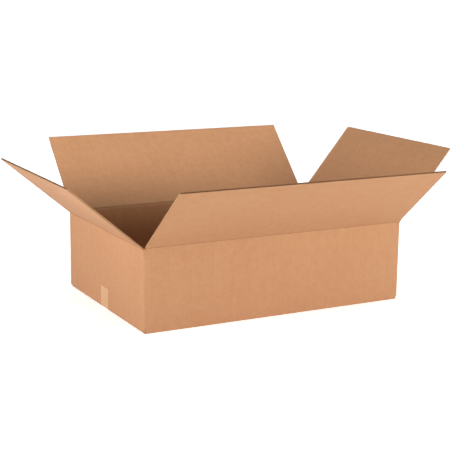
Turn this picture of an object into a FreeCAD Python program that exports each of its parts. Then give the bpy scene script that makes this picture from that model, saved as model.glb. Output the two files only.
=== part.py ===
import FreeCAD, Part
import math
import os

# An open regular slotted carton of single-wall corrugated board, standing on its taped base with its four top
# flaps folded outwards. The origin is the centre of the underside, X runs along the length, and the front long
# side faces -Y. Lengths are millimetres and angles are degrees.

Vec = FreeCAD.Vector
ALONG = Vec(1, 0, 0)
UP = Vec(0, 0, 1)

# The inside that the carton is sold by: 30 x 20 x 8 inches
inside_length = 762.0
inside_width = 508.0
inside_height = 203.2

# The board and its folds
board = 4.0
bend_radius = 4.0
crease_thickness = 1.0
crease_half_width = 6.0
crease_gap = 0.3
fold_clearance = 0.4

# The slots between neighbouring flaps, and the seam where two long flaps meet
slot_clearance = 0.6
slot_overcut = 0.5
seam_gap = 2.0

# The glued tab that closes the sheet into a ring
tab_width = 35.0
tab_taper = 8.0
tab_play = 2.0

# The strip of tape along the base seam and up both short sides
tape_width = 50.0
tape_thickness = 0.3
tape_rise = 60.0

# How far each top flap stands out from upright
front_lean = 49.0
back_lean = 44.0
left_lean = 50.0
right_lean = 40.0

# The short sides' flaps lie inside the long sides' flaps, so their folds are one board further in, below and above.
outer_length = inside_length + 2 * board
outer_width = inside_width + 2 * board
short_base = board
short_crease = 2 * board + inside_height + board
long_crease = short_crease + fold_clearance + board
flap_reach = (outer_width - seam_gap) / 2
end_inset = board + slot_clearance
long_panel = outer_length - 2 * end_inset
short_panel = outer_width - 2 * end_inset
post_bottom = short_base + bend_radius
post_top = long_crease - slot_overcut


def prism(edges, length):
    """A solid with the closed YZ outline that the edges make, as long as length and centred on X = 0."""
    solid = Part.Face(Part.Wire(edges)).extrude(ALONG * length)
    solid.translate(ALONG * (-length / 2))
    return solid


def outline(corners, closed=True):
    """Straight edges through corners given as (y, z)."""
    points = [Vec(0, y, z) for y, z in corners]
    ends = points[1:] + points[:1] if closed else points[1:]
    return [Part.makeLine(a, b) for a, b in zip(points, ends)]


def block(low, high):
    """A box between two opposite corners."""
    size = high - low
    return Part.makeBox(size.x, size.y, size.z, low)


def side(distance, panel, base, crease):
    """A wall whose outer face is at y = -distance, with the flap folded under it and its pressed top crease."""
    outer = -distance
    inner = outer + board
    halfway = bend_radius * (1 - math.cos(math.radians(45)))
    bend = Part.Arc(
        Vec(0, outer, base + bend_radius),
        Vec(0, outer + halfway, base + halfway),
        Vec(0, outer + bend_radius, base),
    )
    rest = outline([
        (outer + bend_radius, base),
        (outer + flap_reach, base),
        (outer + flap_reach, base + board),
        (inner, base + board),
        (inner, crease - crease_half_width),
        (outer + crease_thickness, crease - crease_thickness),
        (outer, crease),
        (outer, base + bend_radius),
    ], closed=False)
    return prism([bend.toShape()] + rest, panel)


def flap(distance, panel, crease, lean):
    """A top flap of the wall at y = -distance. It turns about the crease on the wall's outer face."""
    outer = -distance
    inner = outer + board
    root = crease + crease_gap
    solid = prism(outline([
        (outer, root),
        (outer, crease + flap_reach),
        (inner, crease + flap_reach),
        (inner, root + crease_half_width),
        (outer + crease_thickness, root + crease_thickness),
    ]), panel)
    solid.rotate(Vec(0, outer, crease), ALONG, lean)
    return solid


def facing(solid, heading):
    """Turns what was made for the front side to another side: 90 is the right, 180 the back, -90 the left."""
    solid.rotate(Vec(0, 0, 0), UP, heading)
    return solid


def corner_posts():
    """The four upright folds of the sheet, left standing between the slots up to the long creases. The slots beside
    the short flaps are cut one board lower, and the glued corner has a raw edge."""
    x, y = outer_length / 2, outer_width / 2
    ring = block(Vec(-x, -y, post_bottom), Vec(x, y, post_top))
    folded = [e for e in ring.Edges if abs(e.tangentAt(0).z) > 0.5 and min(e.CenterOfMass.x, e.CenterOfMass.y) < 0]
    ring = ring.makeFillet(bend_radius, folded)
    ring = ring.cut(block(Vec(board - x, board - y, 0), Vec(x - board, y - board, long_crease)))
    ring = ring.cut(block(Vec(end_inset - x, -y, 0), Vec(x - end_inset, y, long_crease)))
    ring = ring.cut(block(Vec(-x, end_inset - y, 0), Vec(x, y - end_inset, long_crease)))
    beside_short_flaps = block(Vec(-x, board - y, short_crease - slot_overcut), Vec(x, y - board, long_crease))
    ring = ring.cut(beside_short_flaps)
    joint = block(Vec(x - end_inset, y - board + crease_thickness, 0), Vec(x - board, y, long_crease))
    return ring.cut(joint)


def glue_tab():
    """The tab of the back wall, glued flat on the inside of the right wall."""
    y = outer_width / 2 - board
    low = 2 * board + tab_play
    high = short_crease - board - tab_play
    tab = prism(outline([
        (y, low),
        (y - tab_width, low + tab_taper),
        (y - tab_width, high - tab_taper),
        (y, high),
    ]), board)
    tab.translate(ALONG * (outer_length / 2 - board - board / 2))
    return tab


def tape_recess():
    """Where the tape presses into the long base flaps, so that the carton stands flat."""
    return block(Vec(-long_panel / 2, -tape_width / 2, 0), Vec(long_panel / 2, tape_width / 2, tape_thickness))


def carton_body():
    """The sheet apart from its top flaps: four walls, the folded base and the glued tab."""
    pieces = [
        side(outer_width / 2, long_panel, 0, long_crease),
        facing(side(outer_width / 2, long_panel, 0, long_crease), 180),
        facing(side(outer_length / 2, short_panel, short_base, short_crease), -90),
        facing(side(outer_length / 2, short_panel, short_base, short_crease), 90),
        glue_tab(),
    ]
    sheet = corner_posts().multiFuse(pieces).removeSplitter()
    return sheet.cut(tape_recess())


def packing_tape():
    """One strip under the seam, drawn across the notch at each end of the base and up the short walls."""
    flap_end = long_panel / 2
    wall = outer_length / 2
    turn = tape_thickness + wall - flap_end
    corner = tape_thickness * math.tan(math.radians(45) / 2)
    right_half = [
        (flap_end + corner, 0),
        (wall + tape_thickness, turn - corner),
        (wall + tape_thickness, tape_rise),
        (wall, tape_rise),
        (wall, turn),
        (flap_end, tape_thickness),
    ]
    left_half = [(-x, z) for x, z in reversed(right_half)]
    return facing(prism(outline(right_half + left_half), tape_width), -90)


def main():
    nodes = {
        "carton_body": carton_body(),
        "front_flap": flap(outer_width / 2, long_panel, long_crease, front_lean),
        "back_flap": facing(flap(outer_width / 2, long_panel, long_crease, back_lean), 180),
        "left_flap": facing(flap(outer_length / 2, short_panel, short_crease, left_lean), -90),
        "right_flap": facing(flap(outer_length / 2, short_panel, short_crease, right_lean), 90),
        "packing_tape": packing_tape(),
    }
    os.makedirs("parts", exist_ok=True)
    for name, shape in nodes.items():
        shape.exportStep(f"parts/{name}.step")
        print(name, "solids", len(shape.Solids), "valid", shape.isValid(), "volume", round(shape.Volume))


main()
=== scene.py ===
# An open slotted shipping carton of corrugated board. It stands on its taped base with its four top flaps
# folded outwards. Lengths are metres in the frame of the CAD model, and angles are degrees.
import math

import bpy
import numpy as np
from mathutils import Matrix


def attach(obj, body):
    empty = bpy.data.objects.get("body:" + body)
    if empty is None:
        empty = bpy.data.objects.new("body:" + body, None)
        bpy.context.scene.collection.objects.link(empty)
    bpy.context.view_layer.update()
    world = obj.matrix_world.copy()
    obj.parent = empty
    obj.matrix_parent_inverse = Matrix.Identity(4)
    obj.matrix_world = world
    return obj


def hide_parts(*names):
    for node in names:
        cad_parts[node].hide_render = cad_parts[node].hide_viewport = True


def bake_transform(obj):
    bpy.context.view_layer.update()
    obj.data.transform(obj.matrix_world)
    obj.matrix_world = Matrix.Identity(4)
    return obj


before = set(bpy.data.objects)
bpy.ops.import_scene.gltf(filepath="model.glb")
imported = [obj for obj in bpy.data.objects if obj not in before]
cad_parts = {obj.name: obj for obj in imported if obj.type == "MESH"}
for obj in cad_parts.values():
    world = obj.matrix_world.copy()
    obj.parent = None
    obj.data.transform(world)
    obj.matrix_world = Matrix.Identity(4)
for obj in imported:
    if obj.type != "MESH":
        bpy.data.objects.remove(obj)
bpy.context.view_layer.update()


# The four walls are one sheet of single-wall corrugated board, creased, folded into a ring and closed by a
# tab that is glued inside the right wall's back edge. Such board is two kraft liners glued to the tips of a
# fluted paper with 127 upright flutes to the metre, and each tip shows through the liner as a faint ridge.
board = 0.004
flute_pitch = 0.00787
liner_thickness = 0.0003
fluting_thickness = 0.00025
washboard = 0.00005

outer_length = 0.770
outer_width = 0.516
corner_radius = 0.004
long_panel = 0.7608
short_panel = 0.5068
wall_foot = 0.008
short_wall_top = 0.2092
long_wall_top = 0.2137
post_top = 0.2191
# How far the darkening along cuts and creases reaches: partly crushed paper, partly painted shade.
crush_and_shade_width = 0.0012


def linear(hex_colour):
    """The linear RGBA of an sRGB colour such as #C89660."""
    parts = [int(hex_colour[i:i + 2], 16) / 255 for i in (1, 3, 5)]
    return [c / 12.92 if c <= 0.04045 else ((c + 0.055) / 1.055) ** 2.4 for c in parts] + [1.0]


def add_node(tree, kind, sockets=None, **settings):
    """Adds a node, sets its options, and sets each socket to a value or links it to another's output."""
    made = tree.nodes.new(kind)
    for option, value in settings.items():
        setattr(made, option, value)
    for socket, value in (sockets or {}).items():
        if isinstance(value, bpy.types.NodeSocket):
            tree.links.new(value, made.inputs[socket])
        else:
            made.inputs[socket].default_value = value
    return made


def kraft_paper(name, pale, deep, roughness, speck_share):
    """Unbleached kraft paper rolled at the mill: grained where its fibres bunch, streaked along the flutes
    where their glue lies thicker, and darker along cuts and creases, partly from crushing and partly as
    painted shade. The UV map is the flat blank in metres, so the pattern follows the sheet round its folds."""
    paper = bpy.data.materials.new(name)
    paper.use_nodes = True
    tree = paper.node_tree
    shader = tree.nodes["Principled BSDF"]
    blank = add_node(tree, "ShaderNodeUVMap", uv_map="UVMap").outputs["UV"]

    # Bunched fibres make a grain of 2 to 25 mm with tufts of 3 to 6 mm, and the tone drifts over 150 mm.
    grain = add_node(tree, "ShaderNodeTexNoise", {
        "Vector": blank, "Scale": 45.0, "Detail": 4.0, "Roughness": 0.8,
    })
    tufts = add_node(tree, "ShaderNodeTexNoise", {
        "Vector": blank, "Scale": 170.0, "Detail": 2.0, "Roughness": 0.7,
    })
    drifts = add_node(tree, "ShaderNodeTexNoise", {"Vector": blank, "Scale": 6.5, "Detail": 1.0})
    # Streaks are about 11 mm wide and 250 mm long.
    run = add_node(tree, "ShaderNodeMapping", {"Vector": blank, "Scale": (90.0, 4.0, 1.0)})
    streaks = add_node(tree, "ShaderNodeTexNoise", {
        "Vector": run.outputs["Vector"], "Scale": 1.0, "Detail": 2.0, "Roughness": 0.6,
    })
    # Fibres are 2 to 3 mm long and 0.03 mm wide, and lie across the flutes. That is too fine to show, so
    # they are drawn 8 mm by 0.7 mm.
    lay = add_node(tree, "ShaderNodeMapping", {"Vector": blank, "Scale": (120.0, 1400.0, 1.0)})
    fibres = add_node(tree, "ShaderNodeTexNoise", {
        "Vector": lay.outputs["Vector"], "Scale": 1.0, "Detail": 3.0, "Roughness": 0.6,
    })
    shares = ((grain, 0.95), (tufts, 0.50), (drifts, 0.25), (streaks, 0.26), (fibres, 0.32))
    tone = 0.5 - sum(share for pattern, share in shares) / 2
    for pattern, share in shares:
        blend = add_node(tree, "ShaderNodeMath", {0: pattern.outputs[0], 1: share, 2: tone},
                         operation="MULTIPLY_ADD")
        tone = blend.outputs[0]

    # The glue on each flute tip darkens the liner a little along a line.
    glue_share = 0.045
    across = add_node(tree, "ShaderNodeSeparateXYZ", {"Vector": blank})
    turn = add_node(tree, "ShaderNodeMath", {0: across.outputs["X"], 1: 2 * math.pi / flute_pitch},
                    operation="MULTIPLY")
    tips = add_node(tree, "ShaderNodeMath", {0: turn.outputs[0]}, operation="COSINE")
    tone = add_node(tree, "ShaderNodeMath", {0: tips.outputs[0], 1: glue_share, 2: tone},
                    operation="MULTIPLY_ADD")
    colour = add_node(tree, "ShaderNodeMix", {0: tone.outputs[0], 6: linear(pale), 7: linear(deep)},
                      data_type="RGBA")

    # Blades and creasing wheels crush the paper, which darkens it a little. The darkening along cut edges
    # and creases is also painted shade, standing in for the shaded board edges and crease grooves.
    crush_and_shade_share = 0.60
    crush_and_shade = add_node(tree, "ShaderNodeAttribute", attribute_name="crush_and_shade")
    crush_and_shade_amount = add_node(tree, "ShaderNodeMath", {0: crush_and_shade.outputs["Fac"], 1: crush_and_shade_share}, operation="MULTIPLY")
    crushed_and_shaded = add_node(tree, "ShaderNodeMix", {
        0: crush_and_shade_amount.outputs[0], 6: colour.outputs[2], 7: linear("#5E4028"),
    }, data_type="RGBA")

    # Specks of bark and recycled fibre are about 1 mm across, and a share of the 14 mm cells has one.
    speck_radius = 0.04
    speck_depth = 0.45
    spots = add_node(tree, "ShaderNodeTexVoronoi", {"Vector": blank, "Scale": 70.0, "Randomness": 1.0})
    pick = add_node(tree, "ShaderNodeSeparateColor", {"Color": spots.outputs["Color"]})
    chosen = add_node(tree, "ShaderNodeMath", {0: pick.outputs[0], 1: speck_share}, operation="LESS_THAN")
    near = add_node(tree, "ShaderNodeMath", {0: spots.outputs["Distance"], 1: speck_radius},
                    operation="LESS_THAN")
    speck = add_node(tree, "ShaderNodeMath", {0: chosen.outputs[0], 1: near.outputs[0]},
                     operation="MULTIPLY")
    speck = add_node(tree, "ShaderNodeMath", {0: speck.outputs[0], 1: speck_depth}, operation="MULTIPLY")
    flecked = add_node(tree, "ShaderNodeMix", {
        0: speck.outputs[0], 6: crushed_and_shaded.outputs[2], 7: linear("#5A3D26"),
    }, data_type="RGBA")
    tree.links.new(flecked.outputs[2], shader.inputs["Base Color"])

    # Paper is matt, and a little smoother where its fibres bunch. Its tooth is a few hundredths of a
    # millimetre high.
    gloss = add_node(tree, "ShaderNodeMapRange", {
        "Value": grain.outputs[0], "To Min": roughness + 0.06, "To Max": roughness - 0.06,
    })
    tree.links.new(gloss.outputs[0], shader.inputs["Roughness"])
    shader.inputs["IOR"].default_value = 1.5
    shader.inputs["Specular IOR Level"].default_value = 0.3
    tooth = add_node(tree, "ShaderNodeBump", {
        "Height": fibres.outputs[0], "Strength": 0.35, "Distance": 0.00015,
    })
    tree.links.new(tooth.outputs[0], shader.inputs["Normal"])
    return paper


outer_liner = kraft_paper("kraft_linerboard_outer", "#A87D5A", "#946542", 0.80, 0.05)
inner_liner = kraft_paper("kraft_linerboard_inner", "#BF8C66", "#A6724C", 0.84, 0.10)
fluting_paper = kraft_paper("semichemical_fluting_paper", "#AC835E", "#8F6847", 0.90, 0.15)


def paper_sheet(name, points, blank, thickness, paper, missing=None, crush_and_shade=None):
    """A sheet of paper through rows of points. The blank holds each point's place on the flat sheet, missing
    says which faces between the points are cut away, and the last argument how much each point is darkened,
    partly by crushing and partly as painted shade, from 0 to 1."""
    rows, columns = points.shape[:2]
    bpy.ops.object.select_all(action="DESELECT")
    bpy.ops.mesh.primitive_grid_add(x_subdivisions=columns - 1, y_subdivisions=rows - 1, size=1.0)
    sheet = bpy.context.object
    sheet.name = name
    sheet.data.vertices.foreach_set("co", points.astype(np.float32).ravel())
    corners = np.zeros(len(sheet.data.loops), np.int32)
    sheet.data.loops.foreach_get("vertex_index", corners)
    on_blank = blank.reshape(-1, 2)[corners].astype(np.float32)
    sheet.data.uv_layers[0].data.foreach_set("uv", on_blank.ravel())
    sheet.data.update()
    if crush_and_shade is not None:
        crush_and_shade_layer = sheet.data.attributes.new("crush_and_shade", "FLOAT", "POINT")
        crush_and_shade_layer.data.foreach_set("value", crush_and_shade.astype(np.float32).ravel())
    if missing is not None:
        bpy.context.tool_settings.mesh_select_mode = (False, False, True)
        bpy.ops.object.mode_set(mode="EDIT")
        bpy.ops.mesh.select_all(action="DESELECT")
        bpy.ops.object.mode_set(mode="OBJECT")
        sheet.data.polygons.foreach_set("select", missing.ravel())
        bpy.ops.object.mode_set(mode="EDIT")
        bpy.ops.mesh.delete(type="FACE")
        bpy.ops.object.mode_set(mode="OBJECT")
    body = sheet.modifiers.new("thickness", "SOLIDIFY")
    body.thickness = thickness
    body.offset = 0.0
    body.use_even_offset = True
    bpy.ops.object.modifier_apply(modifier=body.name)
    sheet.data.materials.append(paper)
    bpy.ops.object.shade_smooth_by_angle(angle=math.radians(60))
    return sheet


def steps(breaks, longest):
    """Places from the first break to the last, one on every break and none further apart than longest."""
    places = [breaks[0]]
    for start, end in zip(breaks, breaks[1:]):
        count = max(1, math.ceil((end - start) / longest - 1e-6))
        places.extend(start + (end - start) * (i + 1) / count for i in range(count))
    return np.array(places)


def near_lines(places, lines):
    """How much places are darkened, partly by crushing and partly as painted shade: 1 on a line, and 0 once
    they are the darkened width away.
    """
    away = np.min([np.abs(places - line) for line in lines], axis=0)
    return np.clip(1 - away / crush_and_shade_width, 0, 1)


def corrugated_board(name, breaks, along, form, cuts, creases, missing=None):
    """Two liners with a fluted paper between them. Breaks are places across the flutes, along are places on
    them, and form gives the outer face, the way to the inner face and the board's thickness at places
    across. The paper is darkened, partly by crushing and partly as painted shade, at the cuts, which are
    places across, and at the creases and cut ends, which are places along. Missing gives the faces that are
    cut away. A blade that slits along the flutes drags the last one over from liner to liner."""
    papers = []
    for layer, paper, per_flute in (
        ("outer", outer_liner, 4),
        ("flutes", fluting_paper, 8),
        ("inner", inner_liner, 4),
    ):
        across = steps(breaks, flute_pitch / per_flute)
        face, inward, thickness = form(across)
        tips = np.cos(2 * np.pi * across / flute_pitch)
        if layer == "outer":
            depth = np.broadcast_to(liner_thickness / 2 + washboard * (1 - tips) / 2, thickness.shape)
        elif layer == "inner":
            depth = thickness - liner_thickness / 2 - washboard * (1 + tips) / 2
        else:
            tips[0] = -np.sign(tips[1])
            tips[-1] = -np.sign(tips[-2])
            wave = (thickness / 2 - liner_thickness - fluting_thickness / 2) * tips
            depth = thickness / 2 - wave
        blank = np.stack(np.broadcast_arrays(across[None, :], along[:, None]), -1)
        middle = (across[1:] + across[:-1]) / 2
        gaps = None if missing is None else missing(middle)
        # Darkening along creases, cut ends and cuts: partly crushed paper, partly painted shade.
        crush_and_shade = np.broadcast_to(near_lines(along, creases)[:, None], (len(along), len(across)))
        if layer != "flutes":
            crush_and_shade = np.maximum(crush_and_shade, near_lines(across, cuts)[None, :])
        papers.append(paper_sheet(
            f"{name}_{layer}", face + inward * depth[..., None], blank,
            fluting_thickness if layer == "flutes" else liner_thickness, paper, gaps, crush_and_shade,
        ))
    bpy.ops.object.select_all(action="DESELECT")
    for sheet in papers:
        sheet.select_set(True)
    bpy.context.view_layer.objects.active = papers[0]
    bpy.ops.object.join()
    papers[0].name = papers[0].data.name = name
    return papers[0]


def walk(start, distance, heading):
    """The points of a path that sets out from start and has each heading at each distance. They are exact
    for lines and arcs."""
    heading = np.radians(heading)
    turn = np.diff(heading)
    stride = np.diff(distance) * np.sinc(turn / 2 / np.pi)
    middle = heading[:-1] + turn / 2
    first = start[0] + np.concatenate([[0.0], np.cumsum(stride * np.cos(middle))])
    second = start[1] + np.concatenate([[0.0], np.cumsum(stride * np.sin(middle))])
    return first, second


def pressed(distance, least, reach):
    """The board's thickness near a crease, least at its middle and whole again at its reach."""
    away = np.clip(np.abs(distance) / reach, 0, 1)
    return board * (least + (1 - least) * away * away * (3 - 2 * away))


# The blank is walked round the ring from the tab's cut edge, and each run ends in a quarter turn. The place
# of each wall's middle on the blank is kept, because its flaps' flutes carry on from the wall's.
tab_overlap = 0.035
tab_taper = 0.008
tab_play = 0.002
tab_fold_radius = 0.0008
tab_fold_press = 0.25
corner_press = 0.85
fold_reach = 0.006
fold_step = 0.002
raw_edge_gap = 0.0004
runs = [
    ("tab", tab_overlap + board - tab_fold_radius, tab_fold_radius, 0.0),
    ("back", outer_length - 2 * board - tab_fold_radius, corner_radius,
     outer_length / 2 - board - tab_fold_radius),
    ("left", outer_width - 2 * corner_radius, corner_radius, outer_width / 2 - corner_radius),
    ("front", outer_length - 2 * corner_radius, corner_radius, outer_length / 2 - corner_radius),
    ("right", outer_width - corner_radius - raw_edge_gap, 0.0, outer_width / 2 - corner_radius),
]
ring_distance, ring_heading, folds, wall_middle = [0.0], [90.0], [], {}
for wall, run, radius, to_middle in runs:
    wall_middle[wall] = ring_distance[-1] + to_middle
    ring_distance.append(ring_distance[-1] + run)
    ring_heading.append(ring_heading[-1])
    if radius:
        folds.append((ring_distance[-1], ring_distance[-1] + radius * math.pi / 2))
        ring_distance.append(folds[-1][1])
        ring_heading.append(ring_heading[-1] + 90.0)

ring_breaks = set(ring_distance) | {tab_overlap}
for start, end in folds:
    ring_breaks |= set(np.linspace(start, end, 5))
    ring_breaks |= {start - fold_step, start - 2 * fold_step, end + fold_step, end + 2 * fold_step}
for wall in ("back", "left", "front", "right"):
    panel = long_panel if wall in ("back", "front") else short_panel
    ring_breaks |= {wall_middle[wall] - panel / 2, wall_middle[wall] + panel / 2}
ring_breaks = sorted(ring_breaks)


def ring(across):
    """The walls' outer face: the tab's ends taper, and the rows are the foot and the tops of the short
    walls, the long walls and the corner posts."""
    heading = np.interp(across, ring_distance, ring_heading)
    x, y = walk((outer_length / 2 - board, outer_width / 2 - board - tab_overlap), across, heading)
    taper = tab_taper * np.clip(1 - across / tab_overlap, 0, 1)
    tab_foot = wall_foot + tab_play
    foot = np.interp(across, [0, tab_overlap, folds[0][1]], [tab_foot, tab_foot, wall_foot]) + taper
    top = short_wall_top - taper
    z = np.stack([foot, top, np.full_like(across, long_wall_top), np.full_like(across, post_top)])
    face = np.stack(np.broadcast_arrays(x[None, :], y[None, :], z), -1)
    angle = np.radians(heading)
    inward = np.stack([-np.sin(angle), np.cos(angle), np.zeros_like(angle)], -1)[None, :, :]
    thickness = np.full_like(across, board)
    for (start, end), least in zip(folds, (tab_fold_press, corner_press, corner_press, corner_press)):
        thickness = np.minimum(thickness, pressed(across - (start + end) / 2, least, fold_reach))
    return face, inward, np.broadcast_to(thickness, z.shape)


def beside_the_posts(middle):
    """The faces that are cut away: those above the tab and the short walls, and all but the corner posts
    above the long walls."""
    short_sides = middle < folds[0][0]
    for wall in ("left", "right"):
        short_sides |= np.abs(middle - wall_middle[wall]) < short_panel / 2
    posts = np.zeros(len(middle), bool)
    for start, end in folds:
        posts |= (middle > start) & (middle < end)
    for wall in ("back", "front"):
        away = np.abs(middle - wall_middle[wall])
        posts |= (away > long_panel / 2) & (away < outer_length / 2 - corner_radius)
    return np.stack([np.zeros_like(posts), short_sides, ~posts])


wall_rows = np.array([wall_foot, short_wall_top, long_wall_top, post_top])
walls = corrugated_board("carton_walls", ring_breaks, wall_rows, ring, [0.0, ring_distance[-1]], [post_top],
                         beside_the_posts)
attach(walls, "carton")
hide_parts("carton_body")


# The base flaps are the same sheet, folded in along a pressed crease: the short ones first and flat on the
# long ones, which meet on the centre line. Their side edges are slots cut from the blank, and their ends
# show open flutes. The tape presses a shallow recess into the long ones.
base_reach = 0.257
long_base_level = 0.0
short_base_level = 0.004
base_crease_press = 0.6
base_crease_reach = 0.009
base_crease_step = 0.003
tape_half_width = 0.025
tape_recess = 0.0003
recess_edge = 0.0003
facing = {"front": -90.0, "right": 0.0, "back": 90.0, "left": 180.0}


def side_strip(side, along, heading, start, thickness, sink):
    """The form of a strip folded up a side of the carton. Start is how far out from the wall it begins and
    its height, and sink is how far its outer face is pressed in."""
    angle = math.radians(facing[side])
    outwards = np.array([math.cos(angle), math.sin(angle), 0.0])
    sideways = np.array([-math.sin(angle), math.cos(angle), 0.0])
    upwards = np.array([0.0, 0.0, 1.0])
    distance = (outer_width if side in ("front", "back") else outer_length) / 2
    out, height = walk(start, along, heading)
    turn = np.radians(heading)
    inward = -np.sin(turn)[:, None] * outwards + np.cos(turn)[:, None] * upwards

    def form(across):
        edge = (distance + out)[:, None] * outwards + height[:, None] * upwards + inward * sink[:, None]
        face = edge[:, None, :] + (across - wall_middle[side])[None, :, None] * sideways
        return face, inward[:, None, :], np.repeat((thickness - sink)[:, None], len(across), 1)

    return form


for side, level, panel in (
    ("left", short_base_level, short_panel),
    ("right", short_base_level, short_panel),
    ("front", long_base_level, long_panel),
    ("back", long_base_level, long_panel),
):
    bend_end = level + corner_radius
    bend_start = bend_end - corner_radius * math.pi / 2
    free_end = bend_start - (base_reach - corner_radius)
    along = {free_end, free_end + crush_and_shade_width, wall_foot} | set(np.linspace(bend_start, bend_end, 6))
    along |= {bend_start - 2 * base_crease_step, bend_start - base_crease_step}
    tape_edge = free_end
    if side in ("front", "back"):
        tape_edge += tape_half_width - (outer_width / 2 - base_reach)
        along |= {tape_edge - recess_edge, tape_edge + recess_edge}
    along = np.array(sorted(along))
    heading = np.interp(along, [free_end, bend_start, bend_end, wall_foot], [0.0, 0.0, 90.0, 90.0])
    thickness = pressed(along - (bend_start + bend_end) / 2, base_crease_press, base_crease_reach)
    sink = tape_recess * (along < tape_edge)
    cuts = [wall_middle[side] - panel / 2, wall_middle[side] + panel / 2]
    flap = corrugated_board(
        f"base_flap_{side}", [cuts[0], cuts[0] + crush_and_shade_width, cuts[1] - crush_and_shade_width, cuts[1]], along,
        side_strip(side, along, heading, (-base_reach, level), thickness, sink), cuts, [free_end],
    )
    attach(flap, "carton")


# Kraft paper tape 50 mm wide, torn off on a saw-toothed blade. One strip runs under the seam of the base,
# across the notch at each end and 60 mm up both short walls. Its face is smoother and paler than the board.
tape_width = 2 * tape_half_width
tape_thickness = 0.00025
tape_rise = 0.060
tape_step = 0.02
tooth_pitch = 0.003
tooth_depth = 0.0012
bend_run = 0.004
bend_turn = math.radians(45)


def tape_paper():
    """Calendered kraft tape: an even tone, a slight sheen, and faint streaks along the roll."""
    paper = bpy.data.materials.new("calendered_kraft_tape")
    paper.use_nodes = True
    tree = paper.node_tree
    shader = tree.nodes["Principled BSDF"]
    roll = add_node(tree, "ShaderNodeUVMap", uv_map="UVMap").outputs["UV"]
    # Streaks are about 1 mm wide and 40 mm long, and clouds 11 mm across.
    lay = add_node(tree, "ShaderNodeMapping", {"Vector": roll, "Scale": (900.0, 25.0, 1.0)})
    streaks = add_node(tree, "ShaderNodeTexNoise", {
        "Vector": lay.outputs["Vector"], "Scale": 1.0, "Detail": 2.0,
    })
    clouds = add_node(tree, "ShaderNodeTexNoise", {"Vector": roll, "Scale": 90.0, "Detail": 2.0})
    share = 0.4
    tone = 0.5 - share
    for pattern in (streaks, clouds):
        blend = add_node(tree, "ShaderNodeMath", {0: pattern.outputs[0], 1: share, 2: tone},
                         operation="MULTIPLY_ADD")
        tone = blend.outputs[0]
    colour = add_node(tree, "ShaderNodeMix", {0: tone, 6: linear("#AE8963"), 7: linear("#A17851")},
                      data_type="RGBA")
    tree.links.new(colour.outputs[2], shader.inputs["Base Color"])
    shader.inputs["Roughness"].default_value = 0.5
    shader.inputs["IOR"].default_value = 1.5
    ridges = add_node(tree, "ShaderNodeBump", {
        "Height": streaks.outputs[0], "Strength": 0.3, "Distance": 0.00005,
    })
    tree.links.new(ridges.outputs[0], shader.inputs["Normal"])
    return paper


notch_in = (outer_length - long_panel) / 2 + tape_recess
tangent = bend_run / bend_turn * math.tan(bend_turn / 2)
corner = tape_recess * math.tan(bend_turn / 2)
climb = tape_rise - (notch_in - corner) - tangent
slant = (notch_in - corner) * math.sqrt(2) - 2 * tangent
under = long_panel + 2 * corner - 2 * tangent
tape_distance = np.cumsum([0.0, climb, bend_run, slant, bend_run, under, bend_run, slant, bend_run, climb])
tape_heading = [-90, -90, -45, -45, 0, 0, 45, 45, 90, 90]
along = steps(sorted(set(tape_distance) | {tooth_depth, tape_distance[-1] - tooth_depth}), tape_step)
for start in (1, 3, 5, 7):
    along = np.concatenate([along, np.linspace(tape_distance[start], tape_distance[start + 1], 5)])
along = np.unique(np.round(along, 6))
heading = np.interp(along, tape_distance, tape_heading)
x, z = walk((-outer_length / 2 - tape_recess, tape_rise), along, heading)
turn = np.radians(heading)
teeth = 2 * round(tape_width / tooth_pitch)
across = np.linspace(-tape_width / 2, tape_width / 2, teeth + 1)
depth = tape_thickness / 2
points = np.stack(np.broadcast_arrays(
    (x - np.sin(turn) * depth)[:, None], across[None, :], (z + np.cos(turn) * depth)[:, None],
), -1)
for end, beside in ((0, 1), (-1, -2)):
    points[end, ::2, 2] -= tooth_depth
    points[beside, :, 2] = tape_rise - 1.5 * tooth_depth
on_roll = np.stack(np.broadcast_arrays(across[None, :], along[:, None]), -1)
tape = paper_sheet("packing_tape_strip", points, on_roll, tape_thickness, tape_paper())
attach(tape, "carton")
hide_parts("packing_tape")


# The top flaps are the same sheet above a pressed crease, so each flap stays where it is put. Their cut
# edges show the open flutes, and the pressed line is a thin groove on the outside. The paper along the
# crease and the tips is also darkened, partly by crushing and partly as painted shade.
flap_reach = 0.2569
long_crease = 0.2196
short_crease = 0.2152
crease_bend = 0.0008
crease_press = 0.75
crease_reach = 0.0024
groove_depth = 0.0005
groove_reach = 0.0018
for side, crease, panel, foot, lean in (
    ("left", short_crease, short_panel, short_wall_top, 50.0),
    ("right", short_crease, short_panel, short_wall_top, 40.0),
    ("front", long_crease, long_panel, long_wall_top, 49.0),
    ("back", long_crease, long_panel, long_wall_top, 44.0),
):
    tip = crease + flap_reach
    along = {foot, tip - crush_and_shade_width, tip}
    for away in (crease_bend / 3, crease_bend, crush_and_shade_width, groove_reach, crease_reach):
        along |= {crease - away, crease + away}
    along = np.array(sorted(along))
    heading = np.interp(along, [crease - crease_bend, crease + crease_bend], [90.0, 90.0 - lean])
    thickness = pressed(along - crease, crease_press, crease_reach)
    groove = groove_depth * np.clip(1 - np.abs(along - crease) / groove_reach, 0, 1)
    cuts = [wall_middle[side] - panel / 2, wall_middle[side] + panel / 2]
    flap = corrugated_board(
        f"top_flap_{side}", [cuts[0], cuts[0] + crush_and_shade_width, cuts[1] - crush_and_shade_width, cuts[1]], along,
        side_strip(side, along, heading, (0.0, foot), thickness, groove), cuts, [crease, tip],
    )
    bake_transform(flap)
    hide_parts(f"{side}_flap")


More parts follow.
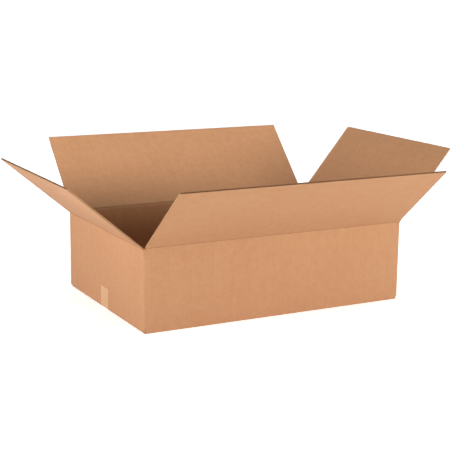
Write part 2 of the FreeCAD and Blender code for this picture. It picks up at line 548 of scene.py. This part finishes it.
# The studio: a white floor that glows faintly, in a room whose white wall is brightest in a band just above
# the floor, most of all in front and to the right. Above the band it is dark up to a cool white ceiling
# light. Most light comes in low, so it reaches the outsides of the flaps and hardly enters the carton.
floor_glow = 0.46
wall_glow = 1.0
band_glow = 3.7
band_bottom = 6.0
band_top = 12.5
front_gain = 1.6
front_azimuth = 28.0
front_edges = (45.0, 75.0)
ceiling_glow = 3.2
ceiling_edge = 65.0
soft_edge = 1.5

bpy.ops.object.select_all(action="DESELECT")
bpy.ops.mesh.primitive_plane_add(size=120.0)
floor = bpy.context.object
floor.name = "studio_floor"
matt_white = bpy.data.materials.new("matt_white_paint")
matt_white.use_nodes = True
floor_paint = matt_white.node_tree.nodes["Principled BSDF"]
floor_paint.inputs["Base Color"].default_value = linear("#F8F8F8")
floor_paint.inputs["Roughness"].default_value = 0.9
floor_paint.inputs["Emission Color"].default_value = linear("#FFFFFF")
floor_paint.inputs["Emission Strength"].default_value = floor_glow
floor.data.materials.append(matt_white)

room = bpy.data.worlds.new("white_room")
bpy.context.scene.world = room
room.use_nodes = True
air = room.node_tree
view = add_node(air, "ShaderNodeTexCoord").outputs["Generated"]
height = add_node(air, "ShaderNodeSeparateXYZ", {"Vector": view}).outputs["Z"]


def change(value, start, end, low, high):
    """A smooth change from low where the value is at start to high where it is at end."""
    return add_node(air, "ShaderNodeMapRange", {
        "Value": value, "From Min": start, "From Max": end, "To Min": low, "To Max": high,
    }, interpolation_type="SMOOTHSTEP").outputs["Result"]


def above(elevation, low, high):
    """Low below an elevation and high above it, with a soft edge."""
    start = math.sin(math.radians(elevation - soft_edge))
    end = math.sin(math.radians(elevation + soft_edge))
    return change(height, start, end, low, high)


front = (math.sin(math.radians(front_azimuth)), -math.cos(math.radians(front_azimuth)), 0.0)
facing_front = add_node(air, "ShaderNodeVectorMath", {0: view, 1: front},
                        operation="DOT_PRODUCT").outputs["Value"]
inner_edge, outer_edge = (math.cos(math.radians(edge)) for edge in front_edges)
band = add_node(air, "ShaderNodeMath", {
    0: above(band_bottom, wall_glow, band_glow), 1: above(band_top, 1.0, 0.0),
}, operation="MULTIPLY").outputs[0]
band = add_node(air, "ShaderNodeMath", {
    0: band, 1: change(facing_front, outer_edge, inner_edge, 1.0, front_gain),
}, operation="MULTIPLY").outputs[0]
overhead = above(ceiling_edge, 0.0, 1.0)
glow = add_node(air, "ShaderNodeMath", {0: overhead, 1: ceiling_glow, 2: band}, operation="MULTIPLY_ADD")
tint = add_node(air, "ShaderNodeMix", {0: overhead, 6: linear("#FFFFFF"), 7: linear("#E2F6FA")},
                data_type="RGBA")
air.links.new(tint.outputs[2], air.nodes["Background"].inputs["Color"])
air.links.new(glow.outputs[0], air.nodes["Background"].inputs["Strength"])


def softbox(name, azimuth, elevation, distance, width, height, watts):
    """A lamp that faces the carton's middle. Azimuth 0 is in front of it, and 90 to its right."""
    aim_height = 0.2
    turn, tilt = math.radians(azimuth), math.radians(elevation)
    out = distance * math.cos(tilt)
    place = (out * math.sin(turn), -out * math.cos(turn), aim_height + distance * math.sin(tilt))
    bpy.ops.object.light_add(type="AREA", location=place, rotation=(math.pi / 2 - tilt, 0, turn))
    lamp = bpy.context.object
    lamp.name = name
    lamp.data.shape = "RECTANGLE"
    lamp.data.size = width
    lamp.data.size_y = height
    lamp.data.energy = watts


softbox("left_softbox", -80, 15, 2.1, 1.0, 0.6, 27)
softbox("right_softbox", 80, 12, 3.0, 1.6, 1.2, 12)
softbox("front_softbox", 30, 12, 2.8, 1.0, 0.6, 40)

# The camera stands in front and to the left, a little above the flaps, with a long lens.
camera_place = (-1.5147, -2.7975, 0.8758)
camera_turn = (77.9064, -0.7344, -27.9048)
lens_millimetres = 93.14
sensor_millimetres = 36.0
bpy.ops.object.camera_add(location=camera_place, rotation=[math.radians(angle) for angle in camera_turn])
camera = bpy.context.object
camera.name = "studio_camera"
camera.data.sensor_width = sensor_millimetres
camera.data.lens = lens_millimetres
camera.data.clip_start = 0.05
camera.data.clip_end = 300.0
bpy.context.scene.camera = camera
bpy.context.scene.view_settings.view_transform = "Standard"
